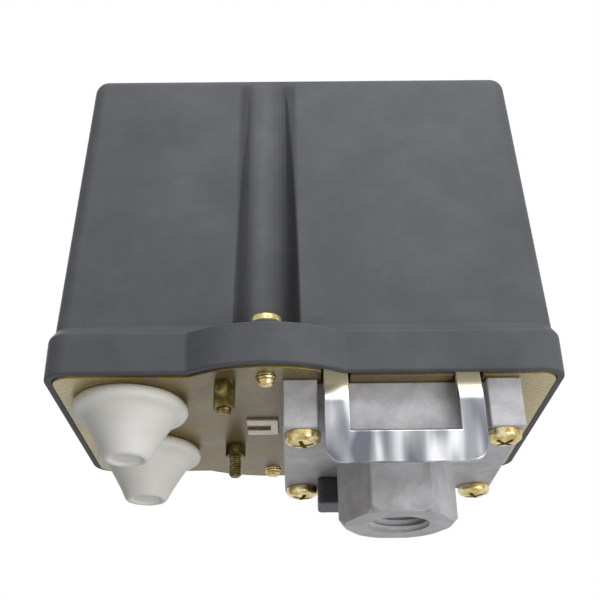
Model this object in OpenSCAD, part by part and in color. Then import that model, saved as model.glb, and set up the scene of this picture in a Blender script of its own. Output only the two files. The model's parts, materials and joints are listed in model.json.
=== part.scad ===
// Compressor pressure switch with a plastic cover, a steel base plate, a die-cast pressure housing,
// a diaphragm mechanism and a three-pole contact block. Origin: centre of the pressure port's mouth.
// +Z runs up from the port through the cover, -Y is the front, where the unloader yoke hangs.

/* [Cover] */
// Width of the cover's rim, left to right
rim_w = 106; // [100:1:130]
// Depth of the cover's rim, front to back
rim_d = 63; // [61:1:80]
// Height of the rim band
rim_h = 8.9; // [8.5:0.1:12]
// Height of the cover above the rim's lower edge
cover_h = 83.5; // [80:0.5:100]
// Wall of the cover's box
cover_wall = 2; // [1.6:0.1:2.2]
// Wall of the rim
rim_wall = 1.7; // [1.2:0.1:2]
// Corner radius of the rim
rim_r = 5.5; // [4:0.5:9]
// Step from the rim in to the box at the front and back
shoulder = 2.7; // [2:0.1:3]
// Step from the rim in to the box at each side
side_step = 1; // [0.5:0.1:3]
// Height of the sloped shoulder
shoulder_h = 2.3; // [1.5:0.1:4]
// Draft of each side wall over its height
side_draft = 1.2; // [0.5:0.1:2]
// Draft of the front and back walls over their height
front_draft = 5.1; // [3:0.1:5.3]
// Radius of the box's vertical and top edges
box_r = 3.5; // [3:0.5:6]
// Radius of each screw channel
channel_r = 7; // [6:0.5:7.5]
// How far the rim swells out round each cover screw
bulge = 4.8; // [4:0.1:5.5]
// Radius of each swelling
bulge_r = 29; // [27:0.5:35]
// Height of the raised seat under each cover screw
seat_h = 2; // [1:0.1:2.2]

/* [Base plate] */
// Thickness of the plate
plate_t = 1.5; // [1.2:0.1:2]
// Gap between the plate's edge and the rim
plate_gap = 0.15; // [0.1:0.05:0.4]
// How far the plate stands out below the rim
plate_proud = 0.4; // [0.2:0.1:0.8]

/* [Port and housing] */
// Distance from the port's axis to the right edge of the rim
port_to_right = 33.5; // [32:0.5:40]
// Distance from the port's axis to the front edge of the rim
port_to_front = 25; // [25:0.5:30]
// Tapped bore of the port
port_d = 11.8; // [9:0.1:15]
// Depth of the tapped bore
port_depth = 13; // [10:0.5:14]
// Spanner size of the hexagon
hex_af = 22; // [20:0.5:24]
// Length of the hexagon
hex_h = 13.6; // [12:0.1:18]
// Width of the housing's flange
flange_w = 48; // [46:0.5:50]
// Depth of the housing's flange
flange_d = 44; // [42:0.5:46]
// Height of the housing's flange
flange_h = 10.4; // [9:0.1:14]
// Width of each corner post
post_w = 7; // [6:0.5:8]
// Depth of the recess between the posts
post_step = 2; // [1:0.1:3]
// Spacing of the housing screws, left to right
fix_x = 40; // [38:0.5:41]
// Spacing of the housing screws, front to back
fix_y = 36.4; // [35:0.2:38]
// Thread of the housing and cover screws
screw_d = 4; // [3:0.5:4]

/* [Cable entries] */
// Largest diameter of a grommet
grommet_d = 24.6; // [20:0.2:26]
// Hole in the plate for a grommet
grommet_hole = 18; // [16:0.5:19]
// Length of a grommet's cone below the plate
grommet_h = 12.5; // [10:0.5:16]
// Distance of the grommets from the rim's left edge
grommet_in = 16; // [15:0.5:20]
// Distance of the front grommet from the rim's front edge
grommet_front = 15.5; // [15:0.5:17]
// Distance of the rear grommet from the rim's back edge
grommet_back = 18.5; // [15:0.5:20]

/* [Mechanism] */
// Thickness of the mechanism's sheet metal
sheet = 2; // [1.6:0.1:2.4]
// Free width between the frame's cheeks
cheek_gap = 22; // [21:0.5:24]
// Height of the cheeks above the frame's base
cheek_h = 45.5; // [44:0.5:50]
// Pivot pin of the main lever
lever_pin_d = 4; // [3:0.1:5]
// Distance from the plunger to the main lever's pivot
lever_arm = 19; // [18:0.5:20]
// Outer diameter of the range spring
range_od = 16; // [13:0.5:16]
// Wire of the range spring
range_wire = 2.4; // [1.8:0.1:2.6]
// Thread of the range screw
range_d = 6; // [5:0.5:7]
// Outer diameter of the differential spring
diff_od = 6.6; // [5.5:0.1:6.8]
// Thread of the differential screw
diff_d = 4; // [3:0.5:4]
// Pivot pin of the contact carrier
carrier_pin_d = 3; // [2:0.1:4]

/* [Contacts] */
// Spacing of the three poles
pole_pitch = 8.5; // [8:0.1:8.7]
// Width of a contact strip
strip_w = 5; // [4:0.1:5.4]
// Thickness of a contact strip
strip_t = 1; // [0.8:0.1:1.2]
// Thread of the terminal screws
terminal_d = 3.5; // [3:0.1:4]

/* [Unloader yoke] */
// Outer width of the yoke
yoke_w = 31.6; // [30:0.2:32.4]
// Width of each leg
yoke_leg = 5; // [4:0.1:5.5]
// Height of the crossbar
yoke_bar = 6.2; // [5:0.1:8]
// Thickness of the yoke's sheet
yoke_t = 1.5; // [1.2:0.1:1.6]

/* [Hidden] */
$fn = 48;

thread_gap = 0.03;  // radial gap between a screw's thread and its tapped hole
pin_gap = 0.05;     // radial gap of a pin that something turns on
free_gap = 0.2;     // radial gap of a plain clearance hole
seat_gap = 0.1;     // gap between faces that slide or press on each other
over = 1;           // how far a cut runs past the face it opens

// Levels
plate_z = hex_h + flange_h;
plate_top = plate_z + plate_t;
rim_z = plate_z + plate_proud;
ledge_z = rim_z + rim_h;
ledge_t = 2.2;
box_z = ledge_z + shoulder_h;
cover_top = rim_z + cover_h;
base_top = plate_top + sheet;

// Plan of the cover
right_x = port_to_right;
left_x = right_x - rim_w;
front_y = -port_to_front;
back_y = front_y + rim_d;
mid = [(left_x + right_x) / 2, (front_y + back_y) / 2];
screw_x = -27.3;
screw_in = 2;
seat_z = ledge_z + seat_h;
cover_screw_ys = [front_y + screw_in, back_y - screw_in];
boss_r = 3.75;

// Screw heads, as multiples of the thread
head_wide = 1.8;
head_tall = 0.6;
head_d = screw_d * head_wide;
pad_r = head_d / 2 + 0.4;
screw_end = 1.6;                        // how far the cover screws stand out under the plate

// Grommets and the lanced fork
grommet_ys = [front_y + grommet_front, back_y - grommet_back];
fork_at = [-flange_w / 2 - 8.3, -0.3];
fork_size = [7, 9, 0.8];
fork_root = 0.2;                        // how far it still reaches into the plate
fork_slot = [5.3, 3.2];
fork_slot_y = 3.1;

// Plug of the unused side port
plug_at = [-12.3, 13.7];
plug_w = 8.4;
plug_h = 6;
plug_stem = 6;
plug_depth = 4.5;
passage_d = 6;

// Diaphragm and plunger
diaphragm_d = 34;
diaphragm_t = 1;
chamber_d = 28;
chamber_h = 2.5;
plunger_d = 21.8;
plunger_t = 3;
guide_d = plunger_d + 4 * seat_gap;
stem_d = 8;
plunger_z = plate_z + seat_gap;
plunger_top = base_top + 5.5;

// Main lever and its pivot
lever_z = plunger_top + pin_gap;
lever_top = lever_z + sheet;
lever_w = cheek_gap - 1.6;
lever_left = -17.5;
lever_right = lever_arm + 4;
pivot_z = lever_top + 3.9;
cheek_y = cheek_gap / 2;
cheek_left = -9;
cheek_top = base_top + cheek_h;
pin_length = cheek_gap + 2 * sheet + 3.2;
clip_t = 0.8;
clip_y = cheek_y + sheet + seat_gap + clip_t / 2;

// Springs, nuts and adjusting screws
nut_w = cheek_gap - 2 * seat_gap;
range_nut_x = 18;
range_nut_h = 4;
range_nut_z = cheek_top - 12;
diff_x = range_nut_x / 2 + diff_od / 2 + 0.1;
diff_nut_x = diff_od - 0.2;
diff_nut_h = 3.5;
diff_nut_z = cheek_top - 18;
diff_wire = 1.1;
bridge_x = [-9, diff_x + 5];
bridge_top = cheek_top + sheet + seat_gap;
flange_drop = 8;
bridge_fix_z = cheek_top - 4;
bridge_fix_x = [bridge_x[0] + 4, bridge_x[1] - 4];
bridge_screw_d = 3;

// Contact carrier
carrier_x = -16.4;
carrier_t = 3;
carrier_pivot = [-14, cheek_top - 12];
bar_z = [base_top + 15, base_top + 22.5];
arm_w = 2.6;

// Contact block
block_x = -43;
block_w = 19;
block_ledge = 7;
ledge_h = 6;
barrier = 1.4;
barrier_h = 6;
block_d = 3 * pole_pitch + barrier;
lower_z = base_top + 9.5;
upper_z = base_top + 27.5;
tab_gap = 0.2;
tab_x = block_x + block_w + tab_gap;
tip_d = 4;
tip_t = 1;
tip_x = tab_x + strip_t;
low_tip_z = lower_z + 4;
high_tip_z = upper_z - 3.5;
bridge_face = tip_x + tip_t + tab_gap;
bridge_bar_x = bridge_face + tip_t;
peg_z = (low_tip_z + high_tip_z) / 2;
peg_d = 2.6;
pole_ys = [-pole_pitch, 0, pole_pitch];
line_x = block_x + 3.5;
load_x = block_x - block_ledge / 2;
foot_h = 3;
foot_x = [-40, -31.5];
stud_x = -35.7;
stud_ys = [front_y + 4.5, 17.2];
stud_d = 3;
stud_ends = [6.9, 7.8];                 // how far they stand out under the plate
nut_af = 4.2;
nut_hs = [5.8, 2.9];
washer_t = 1.2;
terminals = [for (y = pole_ys)
  each [[line_x, y, upper_z + strip_t], [load_x, y, lower_z + strip_t]]];
washer_w = 6.2;
clamp_w = head_d + 0.2;
earth_x = left_x + 9.5;
earth_y = 5;

// Unloader yoke
yoke_y = -flange_d / 2 - 0.7;           // back face of the crossbar
yoke_step = 1.9;                        // joggle between the crossbar and the upper legs
yoke_bar_z = plate_z - 18;
joggle_z = plate_z - 5;
joggle_top = plate_z + 0.5;
yoke_pin_d = 2.5;
lug_r = 2.4;
lug_top = ledge_z - ledge_t - 0.2;      // just under the cover's ledge
yoke_pivot = [-19.3, lug_top - lug_r];
ear_x = yoke_w / 2 + 0.5;

// Points of a rectangle centred on the origin, with corners of radius r
function rounded(w, d, r, n = 10) = [for (q = [0:3], i = [0:n])
  let (a = 90 * q + 90 * i / n, sx = (q == 0 || q == 3) ? 1 : -1, sy = q < 2 ? 1 : -1)
  [sx * (w / 2 - r) + r * cos(a), sy * (d / 2 - r) + r * sin(a)]];

// Outline of the rim and the plate, drawn in by an inset
module plan(inset) {
  translate(mid)
    polygon(rounded(rim_w - 2 * inset, rim_d - 2 * inset, max(rim_r - inset, 1)));
  for (sy = [-1, 1])
    translate([screw_x, mid[1] + sy * (rim_d / 2 + bulge - bulge_r)])
      circle(r = bulge_r - inset, $fn = 96);
}

// A drafted box with rounded upright and top edges
module drafted_box(inset, z_low, z_high) {
  low = [rim_w - 2 * side_step - 2 * inset, rim_d - 2 * shoulder - 2 * inset];
  r = max(box_r - inset, 0.8);
  hull($fn = 40) {
    translate([mid[0], mid[1], z_low])
      linear_extrude(0.01)
        polygon(rounded(low[0], low[1], r));
    for (sx = [-1, 1], sy = [-1, 1])
      translate([mid[0] + sx * (low[0] / 2 - side_draft - r),
          mid[1] + sy * (low[1] / 2 - front_draft - r), z_high - r])
        sphere(r = r);
  }
}

// A slab given by its lowest corner and its highest corner
module slab(low, high) {
  translate(low)
    cube(high - low);
}

// A round pin along Y, centred on the port's axis
module pin_y(x, z, d, length) {
  translate([x, length / 2, z])
    rotate([90, 0, 0])
      cylinder(d = d, h = length);
}

// A pan-head screw that points along +Z, its head under the origin
module pan_screw(d, length, cross = true) {
  difference() {
    union() {
      cylinder(d = d, h = length);
      translate([0, 0, -d * 0.35])
        cylinder(d = d * head_wide, h = d * 0.35);
      translate([0, 0, -d * head_tall])
        cylinder(d1 = d * 1.25, d2 = d * head_wide, h = d * (head_tall - 0.35));
    }
    for (turn = cross ? [0, 90] : [0])
      rotate([0, 0, turn])
        translate([-d * 0.5, -d * 0.12, -d * head_tall - over])
          cube([d, d * 0.24, d * 0.3 + over]);
  }
}

// A round-wire compression spring that stands on the origin
module coil(od, wire, length, turns, sides = 8, steps = 16) {
  n = round(turns * steps);
  rr = (od - wire) / 2;
  rise = length - wire - 0.04;
  points = [for (i = [0:n], k = [0:sides - 1])
    let (a = 360 * i / steps, b = 360 * k / sides, r = rr + wire / 2 * cos(b))
    [r * cos(a), r * sin(a), wire / 2 + 0.02 + rise * i / n + wire / 2 * sin(b)]];
  skin = [for (i = [0:n - 1], k = [0:sides - 1])
    let (k2 = (k + 1) % sides)
    [i * sides + k, (i + 1) * sides + k, (i + 1) * sides + k2, i * sides + k2]];
  caps = [[for (k = [0:sides - 1]) k], [for (k = [sides - 1:-1:0]) n * sides + k]];
  polyhedron(points, concat(skin, caps), convexity = 8);
}

module cover() {
  color("dimgray")
    difference() {
      union() {
        cover_shell();
        for (y = cover_screw_ys)
          translate([screw_x, y, ledge_z - over])
            cylinder(r = pad_r, h = seat_h + over);
      }
      for (y = cover_screw_ys)
        translate([screw_x, y, 0])
          cylinder(d = screw_d + 2 * free_gap, h = cover_h);
    }
}

// Rim, sloped shoulder and box, hollowed, with the two screw channels cut in
module cover_shell() {
  difference() {
    union() {
      translate([0, 0, rim_z])
        linear_extrude(rim_h)
          plan(0);
      hull() {
        translate([mid[0], mid[1], ledge_z - 0.01])
          linear_extrude(0.01)
            polygon(rounded(rim_w, rim_d, rim_r));
        translate([mid[0], mid[1], box_z])
          linear_extrude(0.01)
            polygon(rounded(rim_w - 2 * side_step, rim_d - 2 * shoulder, box_r));
      }
      drafted_box(0, box_z, cover_top);
    }
    cover_cavity();
    for (y = cover_screw_ys)
      translate([screw_x, y, ledge_z])
        cylinder(r = channel_r, h = cover_h);
  }
}

// The hollow of the cover, less the backs of the screw channels and the screw bosses
module cover_cavity() {
  difference() {
    union() {
      translate([0, 0, rim_z - over])
        linear_extrude(rim_h - ledge_t + over)
          plan(rim_wall);
      drafted_box(cover_wall, ledge_z - ledge_t - 0.5, cover_top - cover_wall);
    }
    for (y = cover_screw_ys)
      translate([screw_x, y, 0]) {
        translate([0, 0, ledge_z - ledge_t])
          cylinder(r = channel_r + cover_wall, h = cover_h);
        translate([0, 0, plate_top])
          cylinder(r = boss_r, h = rim_h);
      }
  }
}

module cover_screws() {
  color("goldenrod")
    for (y = cover_screw_ys)
      translate([screw_x, y, seat_z])
        mirror([0, 0, 1])
          pan_screw(screw_d, seat_z - plate_z + screw_end);
}

module base_plate() {
  color("darkkhaki") {
    difference() {
      translate([0, 0, plate_z])
        linear_extrude(plate_t)
          difference() {
            plan(rim_wall + plate_gap);
            circle(d = guide_d);
            for (y = grommet_ys)
              translate([left_x + grommet_in, y])
                circle(d = grommet_hole);
            for (sx = [-1, 1])
              translate([sx * (yoke_w - yoke_leg) / 2 - yoke_leg / 2 - 0.5, front_y - 10])
                square([yoke_leg + 1, 10 + port_to_front + yoke_y + yoke_step + 1.2]);
          }
      plate_holes();
    }
    lanced_fork();
  }
}

// Screw holes of the plate
module plate_holes() {
  translate([0, 0, plate_z - over]) {
    for (y = cover_screw_ys)
      translate([screw_x, y, 0])
        cylinder(d = screw_d + 2 * thread_gap, h = plate_t + 2 * over);
    for (sx = [-1, 1], sy = [-1, 1])
      translate([sx * fix_x / 2, sy * fix_y / 2, 0])
        cylinder(d = screw_d + 2 * free_gap, h = plate_t + 2 * over);
    for (y = stud_ys)
      translate([stud_x, y, 0])
        cylinder(d = stud_d + 2 * free_gap, h = plate_t + 2 * over);
    translate([earth_x, earth_y, 0])
      cylinder(d = screw_d + 2 * thread_gap, h = plate_t + 2 * over);
  }
}

// Fork pressed down out of the plate beside the housing, open to the left
module lanced_fork() {
  translate([fork_at[0], fork_at[1], plate_z + fork_root - fork_size[2]])
    difference() {
      cube(fork_size);
      translate([-over, fork_slot_y, -over])
        cube([fork_slot[0] + over, fork_slot[1], fork_size[2] + 2 * over]);
    }
}

module grommet() {
  rs = grommet_d / 2;
  hole = grommet_hole / 2;
  color("whitesmoke")
    rotate_extrude($fn = 64)
      polygon([[0, -grommet_h + 0.6], [3.4, -grommet_h + 0.6], [3.6, -grommet_h], [4.6, -grommet_h],
        [5.2, -grommet_h + 0.6], [hole + 1, -3.6], [rs - 0.8, -3.1], [rs, -2.3], [rs, -1], [rs - 1, 0],
        [hole - 0.1, 0], [hole - 0.1, plate_t], [hole + 2, plate_t], [hole + 1.6, plate_t + 1.6],
        [hole - 1.4, plate_t + 2], [3.7, -grommet_h + 1.8], [0, -grommet_h + 1.8]]);
}

module cable_grommet_front() {
  translate([left_x + grommet_in, grommet_ys[0], plate_z])
    grommet();
}

module cable_grommet_rear() {
  translate([left_x + grommet_in, grommet_ys[1], plate_z])
    grommet();
}

module pressure_housing() {
  color("silver")
    difference() {
      union() {
        intersection() {
          cylinder(d = hex_af / cos(30), h = hex_h + over, $fn = 6);
          cylinder(r1 = hex_af / 2 + 0.3, r2 = hex_af / 2 + 0.3 + hex_h + over, h = hex_h + over);
        }
        slab([-flange_w / 2, -flange_d / 2 + post_step, hex_h],
          [flange_w / 2, flange_d / 2 - post_step, plate_z]);
        for (sx = [-1, 1], sy = [-1, 1])
          translate([sx * (flange_w - post_w) / 2, sy * (flange_d - post_w) / 2, plate_z - flange_h / 2])
            cube([post_w, post_w, flange_h], center = true);
      }
      translate([0, 0, -over])
        cylinder(d = port_d, h = port_depth + over);
      cylinder(d = passage_d, h = plate_z);
      translate([0, 0, plate_z - diaphragm_t - chamber_h])
        cylinder(d = chamber_d, h = flange_h);
      translate([0, 0, plate_z - diaphragm_t])
        cylinder(d = diaphragm_d + 2 * seat_gap, h = flange_h);
      for (sx = [-1, 1], sy = [-1, 1])
        translate([sx * fix_x / 2, sy * fix_y / 2, 0])
          cylinder(d = screw_d + 2 * free_gap, h = plate_z + over);
      translate([plug_at[0], plug_at[1], 0])
        cylinder(d = plug_stem + 2 * thread_gap, h = hex_h + plug_depth + 0.3);
    }
}

module side_port_plug() {
  color("black")
    translate([plug_at[0], plug_at[1], hex_h]) {
      translate([0, 0, -plug_h])
        linear_extrude(plug_h)
          polygon(rounded(plug_w, plug_w, 1.2, 4));
      cylinder(d = plug_stem, h = plug_depth);
    }
}

module housing_screws() {
  color("goldenrod")
    for (sx = [-1, 1], sy = [-1, 1])
      translate([sx * fix_x / 2, sy * fix_y / 2, hex_h])
        pan_screw(screw_d, base_top - hex_h);
}

module diaphragm() {
  color("darkslategray")
    translate([0, 0, plate_z - diaphragm_t])
      cylinder(d = diaphragm_d, h = diaphragm_t);
}

// Pressure disc, stem and domed tip in one
module plunger() {
  dome_r = 12;
  color("gainsboro") {
    translate([0, 0, plunger_z])
      cylinder(d = plunger_d, h = plunger_t);
    intersection() {
      translate([0, 0, plunger_z + plunger_t - 0.01])
        cylinder(d = stem_d, h = plunger_top - plunger_z - plunger_t + 0.01);
      translate([0, 0, plunger_top - dome_r])
        sphere(r = dome_r, $fn = 64);
    }
  }
}

module mechanism_frame() {
  base_w = 45.2;
  color("khaki")
    difference() {
      union() {
        slab([-base_w / 2, -flange_d / 2 + 0.5, plate_top],
          [base_w / 2, flange_d / 2 - 0.5, base_top]);
        for (sy = [-1, 1])
          translate([0, sy * (cheek_y + sheet / 2), 0]) {
            slab([cheek_left, -sheet / 2, plate_top], [lever_right + 1, sheet / 2, pivot_z + 5]);
            slab([cheek_left, -sheet / 2, plate_top], [bridge_x[1], sheet / 2, cheek_top]);
            slab([carrier_pivot[0] - 4, -sheet / 2, carrier_pivot[1] - 4],
              [cheek_left + 1, sheet / 2, carrier_pivot[1] + 4]);
          }
        for (sx = [-1, 1])
          translate([sx * (ear_x + 0.6), 0, 0])
            slab([-0.6, -flange_d / 2 + 0.5, plate_top], [0.6, -14, lug_top]);
      }
      translate([0, 0, plate_z])
        cylinder(d = guide_d, h = 4 * sheet);
      // Notch for the yoke's legs and lugs
      slab([-ear_x, -flange_d / 2 - over, plate_top - over], [ear_x, -16.6, base_top + over]);
      for (sx = [-1, 1], sy = [-1, 1])
        translate([sx * fix_x / 2, sy * fix_y / 2, plate_z])
          cylinder(d = screw_d + 2 * thread_gap, h = 3 * sheet);
      pin_y(lever_arm, pivot_z, lever_pin_d + 2 * thread_gap, 3 * cheek_gap);
      pin_y(carrier_pivot[0], carrier_pivot[1], carrier_pin_d + 2 * thread_gap, 3 * cheek_gap);
      for (x = bridge_fix_x)
        pin_y(x, bridge_fix_z, bridge_screw_d + 2 * thread_gap, 3 * cheek_gap);
      translate([-flange_w, yoke_pivot[0], yoke_pivot[1]])
        rotate([0, 90, 0])
          cylinder(d = yoke_pin_d + 2 * thread_gap, h = 2 * flange_w);
    }
}

module spring_bridge() {
  flange_y = cheek_y + sheet + seat_gap;
  color("khaki")
    difference() {
      union() {
        slab([bridge_x[0], -flange_y - sheet, cheek_top + seat_gap],
          [bridge_x[1], flange_y + sheet, bridge_top]);
        for (sy = [-1, 1])
          translate([0, sy * (flange_y + sheet / 2), 0])
            slab([bridge_x[0], -sheet / 2, cheek_top - flange_drop], [bridge_x[1], sheet / 2, bridge_top]);
      }
      cylinder(d = range_d + 2 * pin_gap, h = cover_top);
      translate([diff_x, 0, 0])
        cylinder(d = diff_d + 2 * pin_gap, h = cover_top);
      for (x = bridge_fix_x)
        pin_y(x, bridge_fix_z, bridge_screw_d + 2 * free_gap, 3 * cheek_gap);
    }
}

module bridge_screws() {
  head_y = cheek_y + 2 * sheet + seat_gap;
  color("goldenrod")
    for (x = bridge_fix_x, sy = [-1, 1])
      translate([x, sy * head_y, bridge_fix_z])
        rotate([sy * 90, 0, 0])
          pan_screw(bridge_screw_d, head_y - cheek_y, false);
}

module main_lever() {
  color("khaki")
    difference() {
      union() {
        slab([lever_left, -lever_w / 2, lever_z], [lever_right, lever_w / 2, lever_top]);
        for (sy = [-1, 1])
          translate([0, sy * (lever_w - sheet) / 2, 0])
            slab([cheek_left, -sheet / 2, lever_z], [lever_right, sheet / 2, pivot_z + 4]);
      }
      pin_y(lever_arm, pivot_z, lever_pin_d + 2 * pin_gap, 3 * cheek_gap);
    }
}

module lever_pin() {
  color("lightgray")
    difference() {
      pin_y(lever_arm, pivot_z, lever_pin_d, pin_length);
      for (sy = [-1, 1])
        translate([0, sy * clip_y, 0])
          difference() {
            pin_y(lever_arm, pivot_z, lever_pin_d + 1, clip_t);
            pin_y(lever_arm, pivot_z, lever_pin_d - 1, clip_t + over);
          }
    }
}

module pin_clips() {
  color("dimgray")
    for (sy = [-1, 1])
      translate([0, sy * clip_y, 0])
        difference() {
          pin_y(lever_arm, pivot_z, lever_pin_d + 3, clip_t - 0.06);
          pin_y(lever_arm, pivot_z, lever_pin_d - 1 + 2 * thread_gap, clip_t + over);
          slab([lever_arm - (lever_pin_d - 1) / 2 - thread_gap, -clip_t, pivot_z - lever_pin_d],
            [lever_arm + (lever_pin_d - 1) / 2 + thread_gap, clip_t, pivot_z]);
        }
}

module range_spring() {
  color("lightgray")
    translate([0, 0, lever_top])
      coil(range_od, range_wire, range_nut_z - lever_top, 6.5);
}

module range_nut() {
  color("khaki")
    difference() {
      slab([-range_nut_x / 2, -nut_w / 2, range_nut_z],
        [range_nut_x / 2, nut_w / 2, range_nut_z + range_nut_h]);
      cylinder(d = range_d + 2 * thread_gap, h = cover_top);
    }
}

module adjusting_screw(d, tip_z, af) {
  difference() {
    union() {
      translate([0, 0, tip_z])
        cylinder(d = d, h = bridge_top + 2 * seat_gap - tip_z);
      translate([0, 0, cheek_top - 1.4])
        cylinder(d = d * 1.5, h = 1.4);
      translate([0, 0, bridge_top + seat_gap])
        cylinder(d = af / cos(30), h = d * 0.65, $fn = 6);
    }
    translate([-d, -0.5, bridge_top + d * 0.35])
      cube([2 * d, 1, d]);
  }
}

module range_screw() {
  color("gold")
    adjusting_screw(range_d, range_nut_z - 8, 10);
}

module differential_screw() {
  color("gold")
    translate([diff_x, 0, 0])
      adjusting_screw(diff_d, diff_nut_z - 6, 7);
}

module differential_spring() {
  color("lightgray")
    translate([diff_x, 0, lever_top])
      coil(diff_od, diff_wire, diff_nut_z - lever_top, 8, 6, 14);
}

module differential_nut() {
  color("khaki")
    difference() {
      slab([diff_x - diff_nut_x / 2, -nut_w / 2, diff_nut_z],
        [diff_x + diff_nut_x / 2, nut_w / 2, diff_nut_z + diff_nut_h]);
      translate([diff_x, 0, 0])
        cylinder(d = diff_d + 2 * thread_gap, h = cover_top);
    }
}

module contact_carrier() {
  arm_y = cheek_y - seat_gap - arm_w;
  color("saddlebrown")
    difference() {
      union() {
        slab([carrier_x, -block_d / 2 + 0.6, bar_z[0]],
          [carrier_x + carrier_t, block_d / 2 - 0.6, bar_z[1]]);
        for (sy = [-1, 1])
          translate([0, sy * (arm_y + arm_w / 2), 0]) {
            slab([carrier_x, -arm_w / 2, bar_z[1] - over], [carrier_x + 5, arm_w / 2, carrier_pivot[1]]);
            pin_y(carrier_pivot[0], carrier_pivot[1], carrier_pin_d + 3.4, arm_w);
          }
        for (y = pole_ys)
          translate([bridge_bar_x - 0.5, y, peg_z])
            rotate([0, 90, 0])
              cylinder(d = peg_d, h = carrier_x - bridge_bar_x + 1);
      }
      pin_y(carrier_pivot[0], carrier_pivot[1], carrier_pin_d + 2 * pin_gap, 3 * cheek_gap);
    }
}

module carrier_pin() {
  color("lightgray")
    pin_y(carrier_pivot[0], carrier_pivot[1], carrier_pin_d, cheek_gap + 2 * sheet + 1);
}

module contact_bridges() {
  color("goldenrod")
    for (y = pole_ys)
      difference() {
        union() {
          slab([bridge_bar_x, y - strip_w / 2, low_tip_z - 2.5],
            [bridge_bar_x + strip_t, y + strip_w / 2, high_tip_z + 2.5]);
          for (z = [low_tip_z, high_tip_z])
            translate([bridge_face, y, z])
              rotate([0, 90, 0])
                cylinder(d = tip_d, h = tip_t + 0.1);
        }
        translate([bridge_face, y, peg_z])
          rotate([0, 90, 0])
            cylinder(d = peg_d + 2 * pin_gap, h = 5);
      }
}

module contact_springs() {
  color("lightgray")
    for (y = pole_ys)
      translate([bridge_bar_x + strip_t, y, peg_z])
        rotate([0, 90, 0])
          coil(5, 0.7, carrier_x - bridge_bar_x - strip_t, 3, 6, 12);
}

module snap_spring() {
  color("lightgray")
    translate([carrier_x + carrier_t / 2, 0, lever_top])
      coil(4.6, 0.8, bar_z[0] - lever_top, 4, 6, 12);
}

module contact_block() {
  color("darkslategray")
    difference() {
      union() {
        slab([block_x, -block_d / 2, plate_top], [block_x + block_w, block_d / 2, upper_z]);
        slab([block_x - block_ledge, -block_d / 2, lower_z - ledge_h],
          [block_x + over, block_d / 2, lower_z]);
        for (i = [0:3])
          translate([0, (i - 1.5) * pole_pitch, 0]) {
            slab([block_x - block_ledge, -barrier / 2, lower_z - ledge_h],
              [block_x + over, barrier / 2, lower_z + barrier_h]);
            slab([block_x, -barrier / 2, upper_z - over],
              [block_x + block_w, barrier / 2, upper_z + barrier_h]);
          }
        slab([foot_x[0], front_y + screw_in, plate_top],
          [foot_x[1], stud_ys[1] + 4, plate_top + foot_h]);
      }
      for (y = stud_ys)
        translate([stud_x, y, 0])
          cylinder(d = stud_d + 2 * free_gap, h = plate_top + foot_h + over);
      for (y = pole_ys) {
        // Slot for the load strip, and tapped holes for both terminal screws
        slab([block_x - over, y - strip_w / 2 - seat_gap, lower_z],
          [tab_x, y + strip_w / 2 + seat_gap, lower_z + strip_t + seat_gap]);
        translate([line_x, y, upper_z - 6])
          cylinder(d = terminal_d + 2 * thread_gap, h = 10);
        translate([load_x, y, lower_z - ledge_h - over])
          cylinder(d = terminal_d + 2 * thread_gap, h = 10);
      }
    }
}

// Contact strip with its turned end and silver tip: from the terminal to the tab
module strip(terminal_x, x_low, z_low, turn) {
  difference() {
    union() {
      slab([x_low, -strip_w / 2, z_low], [tip_x, strip_w / 2, z_low + strip_t]);
      slab([tab_x, -strip_w / 2, min(z_low, z_low + strip_t + turn * 6)],
        [tip_x, strip_w / 2, max(z_low + strip_t, z_low + turn * 6)]);
      translate([tip_x - 0.1, 0, turn > 0 ? low_tip_z : high_tip_z])
        rotate([0, 90, 0])
          cylinder(d = tip_d, h = tip_t + 0.1);
    }
    translate([terminal_x, 0, z_low - over])
      cylinder(d = terminal_d + 2 * thread_gap, h = strip_t + 2 * over);
  }
}

module line_contacts() {
  color("goldenrod")
    for (y = pole_ys)
      translate([0, y, 0])
        strip(line_x, block_x, upper_z, -1);
}

module load_contacts() {
  color("goldenrod")
    for (y = pole_ys)
      translate([0, y, 0])
        strip(load_x, block_x - block_ledge, lower_z, 1);
}

module terminal_screws() {
  color("silver")
    for (at = terminals)
      translate(at + [0, 0, washer_t])
        mirror([0, 0, 1])
          pan_screw(terminal_d, washer_t + strip_t + 4);
}

module clamp_washers() {
  color("silver")
    for (at = terminals)
      translate(at)
        difference() {
          translate([-washer_w / 2, -washer_w / 2, 0])
            cube([washer_w, washer_w, washer_t]);
          translate([0, 0, -over])
            cylinder(d = terminal_d + 2 * free_gap, h = 3 * over + washer_t);
        }
}

module block_screws() {
  color("darkgoldenrod")
    for (i = [0, 1])
      translate([stud_x, stud_ys[i], plate_top + foot_h])
        mirror([0, 0, 1])
          pan_screw(stud_d, foot_h + plate_t + stud_ends[i]);
}

module block_nuts() {
  color("darkgoldenrod")
    for (i = [0, 1])
      translate([stud_x, stud_ys[i], plate_z - nut_hs[i]])
        difference() {
          cylinder(d = nut_af / cos(30), h = nut_hs[i], $fn = 6);
          translate([0, 0, -over])
            cylinder(d = stud_d + 2 * thread_gap, h = nut_hs[i] + 2 * over);
        }
}

module earth_screw() {
  color("goldenrod")
    translate([earth_x, earth_y, plate_top + washer_t])
      mirror([0, 0, 1])
        pan_screw(screw_d, plate_t + washer_t);
}

module earth_clamp() {
  color("silver")
    translate([earth_x, earth_y, plate_top])
      difference() {
        translate([-clamp_w / 2, -clamp_w / 2, 0])
          cube([clamp_w, clamp_w, washer_t]);
        translate([0, 0, -over])
          cylinder(d = screw_d + 2 * free_gap, h = 3 * over + washer_t);
      }
}

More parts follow.
